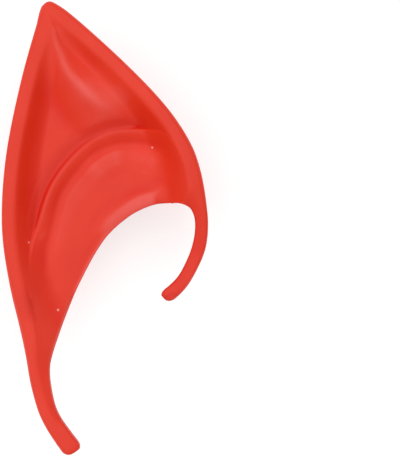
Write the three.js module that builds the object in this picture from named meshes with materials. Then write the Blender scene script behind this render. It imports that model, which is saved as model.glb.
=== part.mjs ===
// A pointed costume ear tip: one hollow moulding of soft latex that slips over the top of an ear.
// Millimetres, +Z up. The tip lies on its rounded back with its open face up: +X runs across the
// face from the rear rim to the hook, +Y runs along it from the tail to the point.
//
// The moulding is one loft. Each section crosses the wall from the rim (the rolled outer edge) to
// the cut edge that goes round the wearer's ear: a hairpin with a modelled front wall, a plain back
// wall and the pocket for the ear between them. The sections run from the end of the long rear
// tail, up the rear rim, round the point, down the front rim and out along the short hook.

import * as THREE from "three";
import { LoftGeometry } from "three/addons/geometries/LoftGeometry.js";

const { clamp, degToRad, lerp, smoothstep } = THREE.MathUtils;

// Driving dimensions
const WALL = 1.5; // latex thickness of the front and back walls
const WALL_STEEPEST = 2.6; // most that a sloping wall is thickened, measured upright
const RIM_THICKNESS = 2.6; // latex between the top of the rim and the pocket
const RIM_ROUND = 1.1; // radius of the rim's outer side
const RIM_LEAN = 0.35; // how far the outer half of the rim falls off
const BAND_WIDTH = 3.9; // flat top of the rim
const BAND_SHARE = 0.42; // the band's share of a bar too narrow for the full width
const BAND_CORNER = 0.7; // how softly the band turns down into the bowl
const BOWL_CURVE = 2.0; // 1 is a straight slope into the bowl, more is steeper at the band
const BOWL_STRAIGHT = 1.3; // the same where the bowl's side is narrow
const BOWL_SOFT = 3.2; // width of a side for each 1 of that curve, between the two
const RIB_WIDTH = 1.5; // from the rib's crest to its upper edge
const RIB_SPAN = 1.75; // from the rib's crest to the foot of the wall above it
const HOLLOW_WIDTH = 11.0; // width over which the face rises again under the rib
const HOLLOW_SLOPE = 2.4; // width over which the wall above falls to that foot
const LOWER_FALL = 2.9; // half width of the rib's lower side, which falls softly
const LOWER_SPAN = 5.4; // from the rib's crest to where its lower side has run out
const LOWER_HOLLOW = 0.5; // depth of the hollow under it against the rib's height
const BACK_SWEEP = degToRad(104); // past 90 degrees the back wall's edge draws in
const MOUTH_CLOSED = 0.4; // mouth height under which the section is solid
const MOUTH_OPEN = 3.0; // mouth height from which the pocket has its full depth
const END_ROUND = 2.2; // length of the rounding at the ends of the tail and the hook
const END_FLAT = 0.3; // size of the end face against the full section
const END_STEPS = 5; // sections in that rounding
const SECTION_STEP = 4.2; // longest stretch of rim or cut edge between two sections
const SECTION_TURN = degToRad(11); // most that the rim turns between two sections

// Sections from the tail's end to the hook's end. The levels are heights against the plane of the
// face, and the moulding reaches down from there.
// rimX, rimY, rimZ    the outermost point of the rim, and the level of its top
// edgeX, edgeY        the point of the cut edge that the section runs to
// side                width over which the face sinks from the rim's band into the bowl
// foot, middle, edge  levels of the front wall: where the bowl starts, halfway, and at the cut edge
// back                level of the back wall
// full                how squarely the back turns into the side: 2 an ellipse, 1 a straight slope
// reach               where the back wall ends, as a share of the section
const COLUMNS = [
  "rimX", "rimY", "rimZ", "edgeX", "edgeY", "side", "foot", "middle", "edge", "back", "full", "reach",
];
const SECTIONS = [
  // tail
  [-10.1, -62.3, 0.0, -5.9, -59.2, 7.5, -0.2, -0.5, -1.0, -3.8, 2.2, 1.0],
  [-14.3, -56.4, -0.4, -10.2, -53.7, 7.5, -0.6, -0.9, -1.4, -4.6, 2.2, 1.0],
  [-17.4, -50.8, -1.0, -13.0, -49.1, 7.5, -1.2, -1.5, -2.1, -5.4, 2.2, 1.0],
  [-20.0, -42.1, -1.8, -14.8, -40.9, 7.5, -2.2, -2.6, -3.4, -6.4, 2.2, 1.0],
  [-21.0, -36.5, -2.4, -14.7, -36.7, 7.5, -3.3, -4.1, -5.4, -7.8, 2.0, 0.98],
  [-22.1, -30.8, -2.6, -13.1, -30.8, 7.5, -4.4, -5.8, -7.6, -9.8, 1.7, 0.92],
  // rear rim
  [-23.6, -24.3, -2.4, -10.8, -24.2, 7.5, -5.6, -7.2, -9.2, -12.0, 1.6, 0.8],
  [-25.4, -16.7, -1.9, -7.7, -16.7, 7.5, -6.6, -8.0, -9.5, -14.8, 1.7, 0.68],
  [-27.7, -1.1, -1.2, 0.0, -3.0, 5.8, -6.6, -8.2, -9.6, -24.2, 2.4, 0.6],
  [-26.9, 17.6, -1.0, 6.5, 3.0, 5.8, -6.5, -8.2, -8.8, -28.2, 2.6, 0.72],
  [-22.7, 39.4, -1.2, 10.5, 5.2, 5.2, -5.4, -7.8, -7.8, -28.0, 2.2, 0.8],
  // point
  [-18.2, 55.6, -0.6, 12.7, 6.03, 4.4, -3.8, -6.9, -7.2, -26.8, 1.7, 0.86],
  [-17.0, 59.8, -0.1, 13.2, 6.18, 3.6, -3.0, -6.6, -7.06, -26.5, 1.65, 0.88],
  [-15.0, 61.3, 0.1, 13.8, 6.33, 3.2, -2.6, -6.4, -6.9, -26.3, 1.65, 0.89],
  [-12.4, 60.3, 0.0, 14.3, 6.45, 3.2, -2.6, -6.3, -6.75, -26.2, 1.65, 0.9],
  // front rim
  [-2.4, 52.1, 0.3, 15.7, 6.6, 3.8, -2.8, -5.9, -6.3, -26.0, 1.7, 0.94],
  [13.8, 36.3, 1.4, 17.7, 6.7, 4.4, -2.8, -4.7, -5.6, -25.2, 1.8, 0.97],
  [20.5, 27.8, 1.5, 19.0, 6.75, 6.0, -2.2, -3.6, -5.1, -24.5, 1.9, 0.97],
  [24.6, 20.2, 1.2, 20.4, 6.7, 8.0, -1.8, -2.9, -4.5, -23.6, 2.0, 0.97],
  [26.7, 12.7, 0.6, 21.9, 6.4, 9.0, -1.4, -2.3, -3.8, -22.5, 2.1, 0.99],
  // hook
  [27.8, 5.4, -0.8, 23.5, 5.2, 9.0, -1.6, -2.2, -3.1, -20.6, 2.2, 1.0],
  [28.1, 1.1, -1.9, 24.6, 1.8, 8.0, -2.2, -2.6, -3.3, -15.5, 2.2, 1.0],
  [27.3, -6.0, -3.9, 23.8, -4.9, 7.5, -4.1, -4.4, -4.9, -10.1, 2.2, 1.0],
  [22.1, -16.3, -5.4, 19.6, -13.6, 7.5, -5.6, -5.9, -6.4, -9.0, 2.2, 1.0],
  [17.4, -20.7, -5.9, 14.9, -17.8, 7.5, -6.1, -6.4, -6.8, -9.3, 2.2, 1.0],
].map((row) => Object.fromEntries(row.map((value, i) => [COLUMNS[i], value])));

// The rib's crest: x and y on the face, how far it stands up, and how far the wall above it falls to
// its foot. It rises out of the rear hollow, sweeps over the ear's bowl and runs into the front rim.
// Its line goes on along the tail and the hook, where nothing stands up.
const RIB = [
  // x, y, height, hollow
  [-6.5, -62.0, 0, 0],
  [-11.9, -54.9, 0, 0],
  [-14.8, -49.8, 0, 0],
  [-17.0, -41.4, 0, 0],
  [-17.8, -30.8, 0, 0],
  [-19.0, -16.7, 0, 0],
  [-18.8, -6.5, 0.8, 0],
  [-17.4, 0.5, 1.2, 0],
  [-13.9, 11.4, 1.2, 0.6],
  [-5.4, 21.7, 1.2, 1.2],
  [0.9, 25.0, 1.2, 1.5],
  [6.5, 25.9, 1.2, 1.7],
  [11.9, 25.4, 1.1, 1.4],
  [16.4, 24.0, 0.8, 1.0],
  [20.3, 19.4, 0.3, 0.8],
  [22.9, 14.6, 0, 0.6],
  [24.2, 9.8, 0, 0.3],
  [24.9, 5.2, 0, 0],
  [25.8, 1.6, 0, 0],
  [25.0, -5.3, 0, 0],
  [20.5, -14.6, 0, 0],
  [14.5, -19.8, 0, 0],
];

// Soft folds of the front wall: a path on the face, the half width at its start and end, the shares
// of its length over which it rises at the start and fades at the end, how wide the side to the
// right of the path is against the left, how far the fold stands up at its start and end (or is
// pressed in, where negative), and how round its crest is against its half width.
const FOLDS = [
  {
    name: "the long swelling that runs down from the point",
    path: [
      [-14.6, 58.6], [-13.3, 51.4], [-10.2, 43.4], [-5.4, 37.4], [0.6, 32.6], [6.0, 29.6], [12.0, 28.0],
    ],
    widths: [3.8, 14.0],
    fades: [0.12, 0.55],
    spread: 0.9,
    heights: [2.6, 7.4],
    crest: 0.15,
  },
  {
    name: "the shoulder under the rib",
    path: [[-6.5, 14.0], [-2.4, 17.4], [2.6, 20.0], [7.2, 20.6]],
    widths: [2.8, 2.8],
    fades: [0.35, 0.35],
    spread: 1,
    heights: [0.5, 0.5],
    crest: 0.8,
  },
  {
    name: "the lip along the cut edge",
    path: [[-4.0, -5.5], [2.0, 2.4], [7.6, 6.4], [13.8, 8.8], [18.4, 9.6]],
    widths: [1.7, 1.7],
    fades: [0.25, 0.25],
    spread: 1,
    heights: [0.8, 0.8],
    crest: 0.8,
  },
  {
    name: "the crease down the inner side of the tail",
    path: [[-16.2, -33.0], [-15.9, -41.0], [-14.1, -47.3], [-10.4, -54.6]],
    widths: [1.0, 1.0],
    fades: [0.25, 0.25],
    spread: 1,
    heights: [-0.7, -0.7],
    crest: 0.8,
  },
];
const TENT_FOOT = 0.15; // rounding of a fold's feet, against its width

// How many points stand on each stretch of a section, and how they crowd towards its two ends
const FRONT_STRETCHES = [
  { name: "the rim's band", points: 5, spread: 0 },
  { name: "the bowl's side", points: 5, spread: 0.3 },
  { name: "the upper wall", points: 8, spread: 0.5 },
  { name: "the rib's upper side", points: 4, spread: 0 },
  { name: "the rib's lower side", points: 5, spread: 0 },
  { name: "the lower wall", points: 7, spread: 0 },
];
const BACK_POINTS = 11;
const INNER_BACK_POINTS = 7;
const INNER_FRONT_STRIDE = 2; // the pocket's front side follows every second point of the face
const LINE_POINTS = 240; // points along the rim's, the rib's and each fold's line

// Small steps and limits of the working
const PROBE = 0.2; // step for looking up a slope along a section
const FINE_PROBE = 0.02; // step for looking up a place along a section
const NUDGE = 1e-4; // step for looking up the rim's direction, and least distance from the rim
const SIDE_BLEND = 6; // how fast the nearer half of the rim rules the width of the bowl's side
const LEAST_CREST = 0.15; // nearest that the rib's knot comes to the foot, as a share of what is left
const LEAST_FOOT = 0.1; // nearest that the bowl's foot stays to the band, as a share of what is left
const MOST_FOOT = 0.8; // farthest that it comes from the band
const LEAST_STEP = 0.2; // least height between the rim's side, the pocket's roof and its floor
const MOST_SINK = 0.97; // highest that the pocket's back starts under its lowest point
const END_CLEAR = 1.2; // how far other sections stay from a rounded end, against its length

const LATEX_RED = 0xe03a26;

const square = (x) => x * x;
const bell = (x) => Math.exp(-2 * x * x);
const plateau = (x) => Math.exp(-2 * square(square(x * x)));
const softRamp = (x, corner) => (x + Math.hypot(x, corner)) / 2;
const tent = (x, crest) => softRamp(1 + crest - Math.hypot(x, crest), TENT_FOOT);
const softMin = (a, b) => -Math.log(Math.exp(-2 * a) + Math.exp(-2 * b)) / 2;
const signedPower = (x, p) => Math.sign(x) * Math.pow(Math.abs(x), p);

// Smooth curves through three columns of the section table at a time
const curveThrough = (...columns) =>
  new THREE.CatmullRomCurve3(
    SECTIONS.map((row) => new THREE.Vector3(...columns.map((name) => row[name]))),
  );
const rimCurve = curveThrough("rimX", "rimY", "rimZ");
const edgeCurve = curveThrough("edgeX", "edgeY", "edge");
const levelCurve = curveThrough("foot", "middle", "back");
const backCurve = curveThrough("full", "reach", "side");

// The same lines as points on the face
const linePoints = (path) => {
  const points = path.map(([x, y, z = 0]) => new THREE.Vector3(x, y, z));
  return new THREE.CatmullRomCurve3(points).getPoints(LINE_POINTS);
};
const rimLine = rimCurve.getPoints(LINE_POINTS);
const sideLine = backCurve.getPoints(LINE_POINTS);
// The rim in two halves: from the tail to the point, and from there to the hook
const highest = Math.max(...rimLine.map((point) => point.y));
const tip = rimLine.findIndex((point) => point.y === highest);
const halves = [[0, tip + 1], [tip, LINE_POINTS + 1]].map(([from, to]) => ({
  rim: rimLine.slice(from, to),
  side: sideLine.slice(from, to),
}));

const ribLine = linePoints(RIB);
const hollowLine = linePoints(RIB.map(([x, y, , hollow]) => [x, y, hollow]));
const foldLines = FOLDS.map((fold) => linePoints(fold.path));

// The nearest place of a line on the face: its distance (negative to the right of the line), and
// between which points it is
function nearest(line, x, y) {
  let found = { distance: Infinity };
  for (let i = 0; i + 1 < line.length; i++) {
    const runX = line[i + 1].x - line[i].x;
    const runY = line[i + 1].y - line[i].y;
    const fromX = x - line[i].x;
    const fromY = y - line[i].y;
    const share = clamp((fromX * runX + fromY * runY) / (runX * runX + runY * runY), 0, 1);
    const distance = Math.hypot(fromX - share * runX, fromY - share * runY);
    if (distance < Math.abs(found.distance)) {
      found = { distance: runX * fromY < runY * fromX ? -distance : distance, index: i, share };
    }
  }
  return found;
}

// How far the rib stands up at a point of the face, with the hollows on either side of it
function ribHeight(x, y) {
  const { distance, index, share } = nearest(ribLine, x, y);
  const height = lerp(ribLine[index].z, ribLine[index + 1].z, share);
  const hollow = lerp(hollowLine[index].z, hollowLine[index + 1].z, share);
  const above = distance - RIB_SPAN;
  const below = distance + LOWER_FALL;
  return (
    height * (distance > 0 ? plateau(distance / RIB_WIDTH) : bell(distance / LOWER_FALL)) -
    height * LOWER_HOLLOW * bell(below / LOWER_FALL) -
    hollow * (above > 0 ? Math.exp(-above / HOLLOW_SLOPE) : bell(above / HOLLOW_WIDTH))
  );
}

// How far the folds stand up at a point of the face
function foldHeight(x, y) {
  let total = 0;
  FOLDS.forEach(({ widths, fades, spread, heights, crest }, k) => {
    const { distance, index, share } = nearest(foldLines[k], x, y);
    const along = (index + share) / LINE_POINTS;
    const fade = smoothstep(along, 0, fades[0]) * smoothstep(1 - along, 0, fades[1]);
    const width = lerp(widths[0], widths[1], along) * (distance > 0 ? 1 : spread);
    const across = distance / width;
    total += lerp(heights[0], heights[1], along) * fade * tent(across, crest);
  });
  return total;
}

// Where the line from the rim to the cut edge crosses the rib's line, as a distance from the rim, or
// else the middle
function ribCrossing(rim, across, length) {
  const side = (point) => across.x * (point.y - rim.y) - across.y * (point.x - rim.x);
  for (let i = 0; i < LINE_POINTS; i++) {
    const before = side(ribLine[i]);
    const after = side(ribLine[i + 1]);
    const point = ribLine[i].clone().lerp(ribLine[i + 1], before / (before - after));
    const distance = across.x * (point.x - rim.x) + across.y * (point.y - rim.y);
    if (before * after <= 0 && distance > 0 && distance < length) {
      return distance;
    }
  }
  return length / 2;
}

// A smooth curve through three levels at the start, the middle and the end of a section
const throughThree = (start, middle, end, share) =>
  start * (1 - share) * (1 - 2 * share) +
  middle * 4 * share * (1 - share) +
  end * share * (2 * share - 1);

// One closed section at t, from 0 at the tail's end to 1 at the hook's end
function sectionAt(t) {
  const rim = rimCurve.getPoint(t);
  const cut = edgeCurve.getPoint(t);
  const { x: footLevel, y: middleLevel, z: backLevel } = levelCurve.getPoint(t);
  const { x: full, y: reachShare } = backCurve.getPoint(t);
  const edgeLevel = cut.z;
  const across = new THREE.Vector2(cut.x - rim.x, cut.y - rim.y);
  const length = across.length();
  across.divideScalar(length);
  const place = (distance, level) =>
    new THREE.Vector3(rim.x + across.x * distance, rim.y + across.y * distance, level);
  const fromRim = (distance) => {
    const { x, y } = place(distance, 0);
    const looks = halves.map(({ rim: line, side }) => {
      const { distance: depth, index, share } = nearest(line, x, y);
      return { depth: Math.abs(depth), side: lerp(side[index].z, side[index + 1].z, share) };
    });
    const depth = Math.min(looks[0].depth, looks[1].depth);
    const weights = looks.map((look) => Math.pow((depth + NUDGE) / (look.depth + NUDGE), SIDE_BLEND));
    const share = weights[1] / (weights[0] + weights[1]);
    return { depth, side: lerp(looks[0].side, looks[1].side, share) };
  };

  // The places along the section that its points follow. The rim is crossed at a slant near the
  // point, so the band and the bowl's side are looked up by their true distance from the rim.
  const reachesIn = (beyond, most) => {
    let distance = 0;
    while (distance < most && !beyond(fromRim(distance))) {
      distance += FINE_PROBE;
    }
    return distance;
  };
  const widestBand = BAND_SHARE * length;
  const band = softMin(reachesIn(({ depth }) => depth >= BAND_WIDTH, widestBand), widestBand);
  const crest = Math.max(ribCrossing(rim, across, length), lerp(band, length, LEAST_CREST));
  const above = crest - Math.min(RIB_SPAN, (crest - band) / 2);
  const below = crest + Math.min(LOWER_SPAN, (length - crest) / 2);
  const foot = clamp(
    reachesIn(({ depth, side }) => depth >= BAND_WIDTH + side, length),
    lerp(band, above, LEAST_FOOT),
    lerp(band, above, MOST_FOOT),
  );
  const knots = [0, band, foot, above, crest, below, length];
  const distances = [0];
  FRONT_STRETCHES.forEach((stretch, k) => {
    for (let i = 1; i <= stretch.points; i++) {
      const share = i / stretch.points;
      const eased = lerp(share, smoothstep(share, 0, 1), stretch.spread);
      distances.push(lerp(knots[k], knots[k + 1], eased));
    }
  });

  // Back wall: a quarter of a superellipse, carried a little past its lowest point
  const bandDepth = Math.min(BAND_WIDTH, band);
  const round = Math.min(RIM_ROUND, (rim.z - backLevel) / 2, bandDepth / 2);
  const shoulder = rim.z - round;
  const power = 2 / full;
  const swing = (angle) =>
    (1 - signedPower(Math.cos(angle), power)) / (1 - signedPower(Math.cos(BACK_SWEEP), power));
  const sink = (angle) => Math.pow(Math.sin(angle), power);
  const reach = length * reachShare;
  const back = [];
  for (let i = 1; i <= BACK_POINTS; i++) {
    const angle = (BACK_SWEEP * i) / BACK_POINTS;
    back.push(place(reach * swing(angle), lerp(shoulder, backLevel, sink(angle))));
  }

  // The mouth is the gap between the two walls' edges: without one the section is a solid bar
  const mouth = edgeLevel - lerp(rim.z, backLevel, sink(BACK_SWEEP)) - 2 * WALL;
  const pocket = smoothstep(mouth, MOUTH_CLOSED, MOUTH_OPEN);

  // Front wall: the rounded rim, the bowl's side, the slope by the rib to the cut edge, then the
  // rib's own relief and the folds
  const faceLevel = (distance) => {
    const { x, y } = place(distance, 0);
    const { depth, side } = fromRim(distance);
    const outer = Math.max(0, 1 - depth / round);
    const barEdge = clamp(1 - (length - distance) / round, 0, 1) * (1 - pocket);
    const lean = Math.max(0, 1 - depth / bandDepth);
    const inward = depth - bandDepth;
    const into = clamp(softRamp(inward, BAND_CORNER) / side, 0, 1);
    const sunk = 1 - Math.pow(1 - into, clamp(side / BOWL_SOFT, BOWL_STRAIGHT, BOWL_CURVE));
    const bowl = throughThree(footLevel, middleLevel, edgeLevel, distance / length);
    return (
      lerp(rim.z, bowl + ribHeight(x, y) + foldHeight(x, y), sunk) -
      RIM_LEAN * square(lean) -
      round * (1 - Math.sqrt(1 - square(outer))) -
      round * (1 - Math.sqrt(1 - square(barEdge)))
    );
  };
  const front = distances.map((distance) => place(distance, faceLevel(distance)));

  // Pocket: the back wall's inner side up to the roof under the rim, then the front wall's
  const roof = Math.min(rim.z - RIM_THICKNESS, shoulder - LEAST_STEP);
  const floor = Math.min(backLevel + WALL, roof - LEAST_STEP);
  const roofSink = Math.min(MOST_SINK, (shoulder - roof) / (shoulder - floor));
  const start = Math.asin(Math.pow(roofSink, 1 / power));
  const innerBack = [];
  for (let i = 0; i < INNER_BACK_POINTS; i++) {
    const angle = lerp(BACK_SWEEP, start, i / (INNER_BACK_POINTS - 1));
    innerBack.push(place(lerp(WALL, reach, swing(angle)), lerp(shoulder, floor, sink(angle))));
  }
  const pocketEnd = lerp(WALL, reach, swing(start));
  const innerFront = [];
  for (let i = FRONT_STRETCHES[0].points; i < distances.length; i += INNER_FRONT_STRIDE) {
    const distance = lerp(Math.max(distances[i], pocketEnd), distances[i], i / (distances.length - 1));
    const slope = (faceLevel(distance + PROBE) - faceLevel(distance - PROBE)) / (2 * PROBE);
    const thickness = WALL * Math.min(WALL_STEEPEST, Math.hypot(1, slope));
    innerFront.push(place(distance, Math.min(roof, faceLevel(distance) - thickness)));
  }

  // Where the mouth closes, the pocket's points lie on the straight face between the two edges
  const inner = [...innerBack, ...innerFront];
  const backEdge = back[back.length - 1];
  const frontEdge = front[front.length - 1];
  inner.forEach((point, i) => {
    const straight = backEdge.clone().lerp(frontEdge, (i + 1) / (inner.length + 1));
    point.lerp(straight, 1 - pocket);
  });
  return [...front, ...inner.reverse(), ...back.reverse()];
}

// The rim's direction at t
function tangent(t) {
  const before = rimCurve.getPoint(Math.max(0, t - NUDGE));
  return rimCurve.getPoint(Math.min(1, t + NUDGE)).sub(before).normalize();
}

// Stations along the loft: evenly spaced on the longer of the rim and the cut edge, and closer
// together where the rim turns and where the tail and the hook round off.
function stations() {
  const spans = SECTIONS.length - 1;
  const run = (from, to) =>
    Math.max(
      rimCurve.getPoint(from).distanceTo(rimCurve.getPoint(to)),
      edgeCurve.getPoint(from).distanceTo(edgeCurve.getPoint(to)),
    );
  const found = [];
  for (let k = 0; k < spans; k++) {
    const from = k / spans;
    const to = (k + 1) / spans;
    const turn = tangent(from).angleTo(tangent(to));
    const steps = Math.ceil(Math.max(run(from, to) / SECTION_STEP, turn / SECTION_TURN));
    for (let i = 0; i < steps; i++) {
      found.push(lerp(from, to, i / steps));
    }
  }
  const tailEnd = END_ROUND / run(0, 1 / spans) / spans;
  const hookEnd = END_ROUND / run(1 - 1 / spans, 1) / spans;
  const between = found.filter((t) => t > END_CLEAR * tailEnd && t < 1 - END_CLEAR * hookEnd);
  const ease = [];
  for (let i = 0; i <= END_STEPS; i++) {
    ease.push(1 - Math.cos(((Math.PI / 2) * i) / END_STEPS));
  }
  return [
    ...ease.map((share) => share * tailEnd),
    ...between,
    ...ease.map((share) => 1 - share * hookEnd).reverse(),
  ];
}

// The section at t, drawn in towards its middle where an end of the loft rounds off
function roundedSection(t) {
  const section = sectionAt(t);
  const fromEnd = Math.min(
    rimCurve.getPoint(t).distanceTo(rimCurve.getPoint(0)),
    rimCurve.getPoint(t).distanceTo(rimCurve.getPoint(1)),
  );
  const left = Math.max(0, 1 - fromEnd / END_ROUND);
  const size = lerp(END_FLAT, 1, Math.sqrt(1 - square(left)));
  const middle = section.reduce((sum, point) => sum.add(point), new THREE.Vector3());
  middle.divideScalar(section.length);
  section.forEach((point) => point.sub(middle).multiplyScalar(size).add(middle));
  return section;
}

const geometry = new LoftGeometry(stations().map(roundedSection), { capStart: true, capEnd: true });
const latex = new THREE.MeshStandardMaterial({ color: LATEX_RED, roughness: 0.45, metalness: 0 });

const earTip = new THREE.Mesh(geometry, latex);
earTip.name = "ear_tip";

// The origin is under the middle of the moulding, on the surface that it lies on
const box = new THREE.Box3().setFromObject(earTip, true);
const middle = box.getCenter(new THREE.Vector3());
earTip.position.set(-middle.x, -middle.y, -box.min.z);

const group = new THREE.Group();
group.add(earTip);
export default group;
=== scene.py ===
import bmesh
import bpy
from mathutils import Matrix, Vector
from mathutils.kdtree import KDTree


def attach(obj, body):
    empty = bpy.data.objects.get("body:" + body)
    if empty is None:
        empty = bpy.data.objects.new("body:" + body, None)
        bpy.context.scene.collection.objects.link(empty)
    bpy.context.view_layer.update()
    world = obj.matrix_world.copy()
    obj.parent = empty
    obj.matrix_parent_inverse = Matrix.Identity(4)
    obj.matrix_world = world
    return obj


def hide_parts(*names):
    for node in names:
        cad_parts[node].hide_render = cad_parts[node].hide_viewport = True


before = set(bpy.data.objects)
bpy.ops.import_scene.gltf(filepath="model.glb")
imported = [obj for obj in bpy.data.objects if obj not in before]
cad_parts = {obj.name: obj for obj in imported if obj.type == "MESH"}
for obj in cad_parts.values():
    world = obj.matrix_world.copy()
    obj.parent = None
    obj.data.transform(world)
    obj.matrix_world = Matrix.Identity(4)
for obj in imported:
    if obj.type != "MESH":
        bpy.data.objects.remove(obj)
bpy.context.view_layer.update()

scene = bpy.context.scene

# View: the tip lies face up and is seen from straight above, from far enough off that the deep
# bowl hardly shrinks. It fills the left half of the picture from top to bottom.
VIEW_CENTRE = (0.02577, 0.00004)
VIEW_HEIGHT = 0.12312
RIM_LEVEL = 0.0282
CAMERA_ABOVE_RIM = 0.9
SENSOR_WIDTH = 36.0
camera_data = bpy.data.cameras.new("camera")
camera_data.sensor_width = SENSOR_WIDTH
camera_data.lens = SENSOR_WIDTH * CAMERA_ABOVE_RIM / VIEW_HEIGHT
camera = bpy.data.objects.new("camera", camera_data)
camera.location = (*VIEW_CENTRE, RIM_LEVEL + CAMERA_ABOVE_RIM)
scene.collection.objects.link(camera)
scene.camera = camera

# Ear tip: one hollow moulding of soft red latex, about 1.5 mm thick, poured in a mould and dried.
# Its skin is smooth and satin and shinier on the crests. Painted highlight makes the crests paler and
# painted shade makes the hollows and the fold above the rib deeper red. It has faint clouds, a fine
# grain and a few caught specks of lint.
SAME_POINT = 1e-6
ear = bpy.data.objects.new("ear", bpy.data.meshes.new("ear"))
scene.collection.objects.link(ear)
moulding = bmesh.new()
moulding.from_mesh(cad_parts["ear_tip"].data)
bmesh.ops.remove_doubles(moulding, verts=moulding.verts, dist=SAME_POINT)

# The solid's walls are rows of four-sided cells that are each cut in two, so six edges meet at every
# corner but those of the two ends. In one triangle any side may be the cut, and the cuts of all the
# others follow from it, up to the ends.
EDGES_AT_CORNER = 6


def cuts_from(first):
    cuts = {first.face: first}
    waiting = [first]
    while waiting:
        cut = waiting.pop()
        for loop in (
            cut.link_loop_radial_next,
            cut.link_loop_prev.link_loop_radial_next.link_loop_next,
            cut.link_loop_next.link_loop_radial_next.link_loop_prev,
        ):
            in_rows = all(len(corner.link_edges) == EDGES_AT_CORNER for corner in loop.face.verts)
            if in_rows and loop.face not in cuts:
                cuts[loop.face] = loop
                waiting.append(loop)
    return cuts.values()


# The true cut is the longest side of most triangles. With the cuts out the skin divides evenly.
def longest_sides(cuts):
    return sum(
        cut.edge.calc_length() == max(side.calc_length() for side in cut.face.edges) for cut in cuts
    )


lowest = min(moulding.faces, key=lambda face: face.calc_center_median().z)
cuts = max((cuts_from(loop) for loop in lowest.loops), key=longest_sides)
bmesh.ops.dissolve_edges(moulding, edges=list(dict.fromkeys(cut.edge for cut in cuts)))

# Smoothing draws each corner in, to a mean of itself, the corners beside it and those across its
# cells. The corners are pushed out first by as much as it would draw them in, so that the smooth skin
# keeps the moulding's outline and relief.
PUSHING_ROUNDS = 3
SMOOTHING_LEVELS = 2
true_places = [corner.co.copy() for corner in moulding.verts]
for _ in range(PUSHING_ROUNDS):
    pushes = []
    for corner, true_place in zip(moulding.verts, true_places):
        sides = len(corner.link_edges)
        beside = sum((edge.other_vert(corner).co for edge in corner.link_edges), Vector())
        across = sum((loop.link_loop_next.link_loop_next.vert.co for loop in corner.link_loops), Vector())
        drawn_in = (sides * sides * corner.co + 4 * beside + across) / (sides * (sides + 5))
        pushes.append(true_place - drawn_in)
    for corner, push in zip(moulding.verts, pushes):
        corner.co += push
for face in moulding.faces:
    face.smooth = True
moulding.to_mesh(ear.data)
moulding.free()
smoothing = ear.modifiers.new("smooth skin", "SUBSURF")
smoothing.levels = smoothing.render_levels = SMOOTHING_LEVELS
ear.data = bpy.data.meshes.new_from_object(ear.evaluated_get(bpy.context.evaluated_depsgraph_get()))
ear.modifiers.clear()
smooth_skin = bmesh.new()
smooth_skin.from_mesh(ear.data)
smooth_skin.verts.layers.float.new("rise")
smooth_skin.verts.layers.float.new("fold")


# Finds the nearest of some places
def tree_of(places):
    tree = KDTree(len(places))
    for number, place in enumerate(places):
        tree.insert(place, number)
    tree.balance()
    return tree


# Draws points of the skin halfway to the middle of their neighbours, round after round
def level(points, rounds):
    for _ in range(rounds):
        bmesh.ops.smooth_vert(
            smooth_skin, verts=points, factor=0.5, use_axis_x=True, use_axis_y=True, use_axis_z=True
        )


# The rim's outer side is the upper part of the wall that faces away from the middle of the bowl.
RIM_DROP = 0.0045
BOWL_MIDDLE = Vector((-0.005, 0.02))
UPRIGHT_NORMAL = 0.5
outer_side = tree_of([
    point.co.copy()
    for point in smooth_skin.verts
    if point.co.z > RIM_LEVEL - RIM_DROP
    and abs(point.normal.z) < UPRIGHT_NORMAL
    and point.normal.xy.dot(point.co.xy - BOWL_MIDDLE) > 0
])

# The rib's upper side is a steep step in the solid. Latex rounds such a step off, so the skin is eased
# along it. It is the only steep part of the bowl that faces away from the middle of the mouth.
BAND_END = 0.0044
POCKET_LEVEL = 0.016
HOOK_START = 0.018
MOUTH_MIDDLE = Vector((0.0123, -0.0086))
STEEP_NORMAL = 0.72
EASED_REACH = 0.003
EASING_ROUNDS = 70
bowl = [
    point
    for point in smooth_skin.verts
    if point.normal.z > 0
    and point.co.z > POCKET_LEVEL
    and point.co.x < HOOK_START
    and outer_side.find(point.co)[2] > BAND_END
]
rib_step = tree_of([
    point.co.copy()
    for point in bowl
    if point.normal.z < STEEP_NORMAL and point.normal.xy.dot(point.co.xy - MOUTH_MIDDLE) > 0
])
level([point for point in bowl if rib_step.find(point.co)[2] < EASED_REACH], EASING_ROUNDS)
smooth_skin.normal_update()

# "rise" is how far each point stands over a levelled skin: 1 on a sharp crest, -1 in a sharp hollow.
# It sets the painted highlight on crests and the painted shade in hollows.
# The rim's outer side and flat band keep one colour, so crests count only inside of them.
# The fold-shade mark is 1 on the rib's step, and runs out to 0 up the wall of the bowl and on the rib's
# crest; it sets painted shade along the fold above the rib.
CREST_HEIGHT = 0.00008
LEVELLING_ROUNDS = 8
BOWL_START = 0.0060
FOLD_ABOVE = 0.0046
FOLD_BELOW = 0.0009
rise_layer = smooth_skin.verts.layers.float["rise"]
fold_layer = smooth_skin.verts.layers.float["fold"]
points = [(point, point.co.copy(), point.normal.copy()) for point in smooth_skin.verts]
level(smooth_skin.verts, LEVELLING_ROUNDS)
for point, place, outward in points:
    height = outward.dot(place - point.co) / CREST_HEIGHT
    inside = (outer_side.find(place)[2] - BAND_END) / (BOWL_START - BAND_END)
    point[rise_layer] = max(-1.0, min(1.0, height, max(0.0, inside)))
    if outward.z > 0 and place.z > POCKET_LEVEL:
        step, _, distance = rib_step.find(place)
        above = (place - step).xy.dot(step.xy - MOUTH_MIDDLE) > 0
        point[fold_layer] = max(0.0, 1 - distance / (FOLD_ABOVE if above else FOLD_BELOW))
    point.co = place
smooth_skin.to_mesh(ear.data)
smooth_skin.free()

latex = bpy.data.materials.new("red latex")
latex.use_nodes = True


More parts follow.
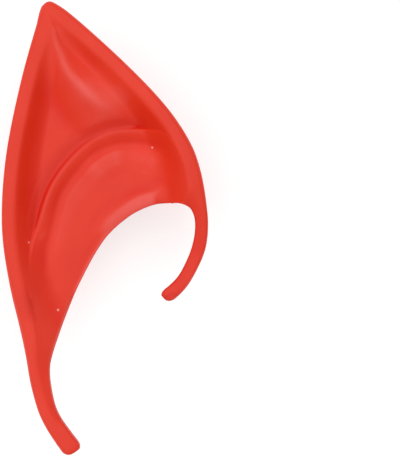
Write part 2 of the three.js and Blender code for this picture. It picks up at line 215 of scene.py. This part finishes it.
# A shader value that can be reckoned with
class Value:
    def __init__(self, socket):
        self.socket = socket

    @classmethod
    def node(cls, kind, settings, values, output=0):
        node = latex.node_tree.nodes.new(kind)
        for name, setting in settings.items():
            setattr(node, name, setting)
        for key, value in values.items():
            if isinstance(value, Value):
                latex.node_tree.links.new(value.socket, node.inputs[key])
            else:
                node.inputs[key].default_value = value
        return cls(node.outputs[output])

    def maths(self, operation, first, second):
        return self.node("ShaderNodeMath", {"operation": operation}, {0: first, 1: second})

    def __add__(self, other):
        return self.maths("ADD", self, other)

    def __sub__(self, other):
        return self.maths("SUBTRACT", self, other)

    def __rsub__(self, other):
        return self.maths("SUBTRACT", other, self)

    def __mul__(self, other):
        return self.maths("MULTIPLY", self, other)

    __radd__ = __add__
    __rmul__ = __mul__

    def ramp(self, start, end):
        return self.node("ShaderNodeMapRange", {}, {"Value": self, "From Min": start, "From Max": end})

    def mix(self, first, second):
        return self.node("ShaderNodeMix", {"data_type": "RGBA"}, {0: self, 6: first, 7: second}, 2)


# Colours, from the plain latex through the painted highlight on crests and the painted shade in hollows
# and above the rib to the caught lint, and how much of a crest or hollow they take over
LATEX_RED = (0.75, 0.024, 0.002, 1)
LATEX_PALE = (0.79, 0.030, 0.005, 1)
CREST_HIGHLIGHT_RED = (0.83, 0.085, 0.065, 1)
HOLLOW_SHADE_RED = (0.73, 0.015, 0.002, 1)
FOLD_SHADE_RED = (0.68, 0.014, 0.0005, 1)
LINT_PINK = (0.88, 0.32, 0.26, 1)
CREST_HIGHLIGHT_SHARE = 0.85
HOLLOW_SHADE_SHARE = 0.8
coordinates = Value.node("ShaderNodeTexCoord", {}, {}, "Object")
rise = Value.node("ShaderNodeAttribute", {"attribute_name": "rise"}, {}, "Fac")
fold = Value.node("ShaderNodeAttribute", {"attribute_name": "fold"}, {}, "Fac")
crest = rise.ramp(0.04, 0.9)
hollow = rise.ramp(-0.05, -0.7)
clouds = Value.node("ShaderNodeTexNoise", {}, {"Vector": coordinates, "Scale": 60.0, "Detail": 2.0})
smears = Value.node("ShaderNodeTexNoise", {}, {"Vector": coordinates, "Scale": 320.0, "Detail": 3.0})
grain = Value.node("ShaderNodeTexNoise", {}, {"Vector": coordinates, "Scale": 2200.0, "Detail": 1.0})
lint = Value.node("ShaderNodeTexVoronoi", {}, {"Vector": coordinates, "Scale": 85.0}, "Distance")
skin = clouds.ramp(0.35, 0.65).mix(LATEX_RED, LATEX_PALE)
# Painted highlight: crests are mixed toward a paler, pinker red that stands in for light on them
skin = (crest * CREST_HIGHLIGHT_SHARE).mix(skin, CREST_HIGHLIGHT_RED)
# Painted shade: hollows are mixed toward a deeper red
skin = (hollow * HOLLOW_SHADE_SHARE).mix(skin, HOLLOW_SHADE_RED)
# Painted shade: the fold above the rib is mixed toward a darker red
skin = fold.mix(skin, FOLD_SHADE_RED)
skin = lint.ramp(0.036, 0.022).mix(skin, LINT_PINK)

# Sheen: satin, smoother on the crests, duller in the hollows and uneven where hands have smeared it
SATIN = 0.5
CREST_SHINE = 0.1
HOLLOW_DULLNESS = 0.08
SMEARED = 0.1
REFLECTION = 0.42
GRAIN_STRENGTH = 0.08
GRAIN_HEIGHT = 0.00008
gloss = SATIN - CREST_SHINE * crest + HOLLOW_DULLNESS * hollow + SMEARED * (smears - 0.5)
bumps = Value.node(
    "ShaderNodeBump",
    {},
    {"Height": grain + 0.5 * smears, "Strength": GRAIN_STRENGTH, "Distance": GRAIN_HEIGHT},
)
shader = latex.node_tree.nodes["Principled BSDF"]
latex.node_tree.links.new(skin.socket, shader.inputs["Base Color"])
latex.node_tree.links.new(gloss.socket, shader.inputs["Roughness"])
latex.node_tree.links.new(bumps.socket, shader.inputs["Normal"])
shader.inputs["Specular IOR Level"].default_value = REFLECTION
ear.data.materials.append(latex)
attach(ear, "root")
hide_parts("ear_tip")

# Floor: a wide sheet of matt white board that the tip lies on. It glows a little, so that it stays
# white right up to the tip.
FLOOR_HALF_WIDTH = 4.0
BOARD_WHITE = (0.5, 0.5, 0.5, 1)
BOARD_ROUGHNESS = 0.9
BOARD_GLOW = 0.62
floor = bpy.data.objects.new("floor", bpy.data.meshes.new("floor"))
scene.collection.objects.link(floor)
board = bmesh.new()
bmesh.ops.create_grid(board, x_segments=1, y_segments=1, size=FLOOR_HALF_WIDTH)
board.to_mesh(floor.data)
board.free()
white = bpy.data.materials.new("white board")
white.use_nodes = True
board_shader = white.node_tree.nodes["Principled BSDF"]
board_shader.inputs["Base Color"].default_value = BOARD_WHITE
board_shader.inputs["Roughness"].default_value = BOARD_ROUGHNESS
board_shader.inputs["Emission Color"].default_value = (1, 1, 1, 1)
board_shader.inputs["Emission Strength"].default_value = BOARD_GLOW
floor.data.materials.append(white)

# Light: a very wide soft lamp overhead, a little to the left, and a white room. Both are so even that
# they leave only soft shade in the bowl.
LAMP_PLACE = Vector((-0.3, 0.3, 1.6))
LAMP_WIDTH = 3.0
LAMP_POWER = 26.8
ROOM_BRIGHTNESS = 0.54
lamp_data = bpy.data.lights.new("soft lamp", "AREA")
lamp_data.shape = "SQUARE"
lamp_data.size = LAMP_WIDTH
lamp_data.energy = LAMP_POWER
lamp = bpy.data.objects.new("soft lamp", lamp_data)
lamp.location = LAMP_PLACE
lamp.rotation_euler = (-LAMP_PLACE).to_track_quat("-Z", "Y").to_euler()
scene.collection.objects.link(lamp)
room = bpy.data.worlds.new("room")
room.use_nodes = True
background = room.node_tree.nodes["Background"]
background.inputs["Color"].default_value = (1, 1, 1, 1)
background.inputs["Strength"].default_value = ROOM_BRIGHTNESS
scene.world = room
scene.view_settings.view_transform = "Standard"
